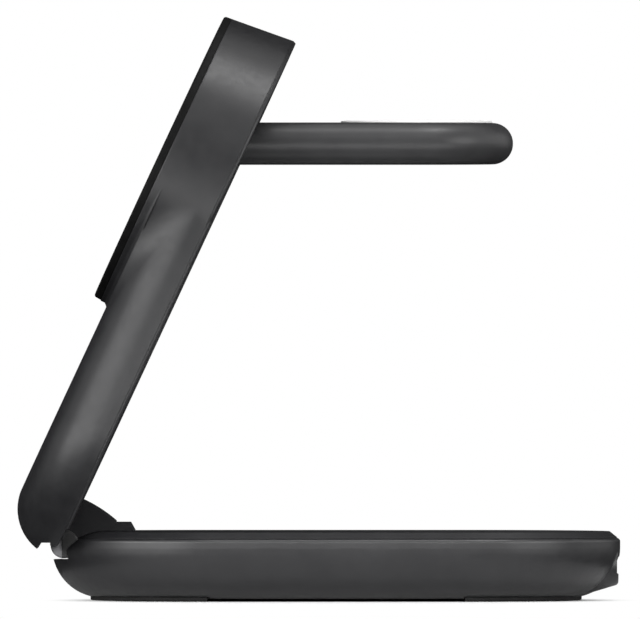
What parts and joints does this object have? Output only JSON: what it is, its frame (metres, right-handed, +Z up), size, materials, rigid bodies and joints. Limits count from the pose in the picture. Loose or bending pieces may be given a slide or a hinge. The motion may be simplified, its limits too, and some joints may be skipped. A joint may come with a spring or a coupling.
{
  "type": "three-in-one wireless charging stand",
  "caption": "Folding desk charger: a tilting phone arm with a round pad, a fold-out watch arm and an earbud deck.",
  "frame": {"origin": "middle of the footprint of the whole charger, on the table under its feet", "axes": "+X along the base from the hinge to the power inlet, +Y across, +Z up"},
  "size_m": [0.1192, 0.0638, 0.1154],
  "materials": {
    "body_plastic": "fine satin grain",
    "deck_plastic": "soft-touch matt",
    "cowl_plastic": "matt",
    "pad_silicone": "smooth silicone",
    "foot_rubber": "matt rubber",
    "puck_white": "smooth white",
    "steel": "plated steel",
    "copper_coil": "enamelled copper",
    "ferrite": "sintered",
    "magnet": "nickel plate",
    "board": "solder mask",
    "bronze": "sintered bronze"
  },
  "bodies": {
    "base": {"base_shell": "body_plastic", "base_deck": "deck_plastic", "hinge_end_foot": "foot_rubber", "inlet_end_foot": "foot_rubber", "base_screws": "steel", "ballast_plate": "steel", "main_board": "board", "usb_c_receptacle": "steel", "earbud_coil": "copper_coil", "earbud_ferrite": "ferrite", "base_hinge_bracket": "steel", "base_hinge_screws": "steel", "hinge_cowl": "cowl_plastic"},
    "arm": {"arm_shell": "body_plastic", "arm_rear_cover": "body_plastic", "rear_cover_screws": "steel", "phone_pad": "pad_silicone", "magnet_ring": "magnet", "phone_coil": "copper_coil", "phone_ferrite": "ferrite", "phone_board": "board", "arm_hinge_bracket": "steel", "arm_hinge_screws": "steel", "hinge_pin": "steel", "hinge_washers": "bronze", "hinge_nut": "steel", "watch_pin": "steel"},
    "watch_arm": {"watch_shell": "body_plastic", "watch_bottom_cover": "body_plastic", "watch_puck": "puck_white", "watch_coil": "copper_coil", "watch_ferrite": "ferrite", "watch_magnet": "magnet", "watch_bushes": "bronze", "watch_screws": "steel"}
  },
  "joints": [
    {"name": "arm_tilt", "type": "hinge", "parent": "base", "child": "arm", "pos_m": [-0.05049, 0, 0.01094], "axis": [0, 1, 0], "range_deg": [0, 40]},
    {"name": "watch_fold", "type": "hinge", "parent": "arm", "child": "watch_arm", "pos_m": [-0.01844, 0, 0.09033], "axis": [0, 1, 0], "range_deg": [0, 115]}
  ]
}
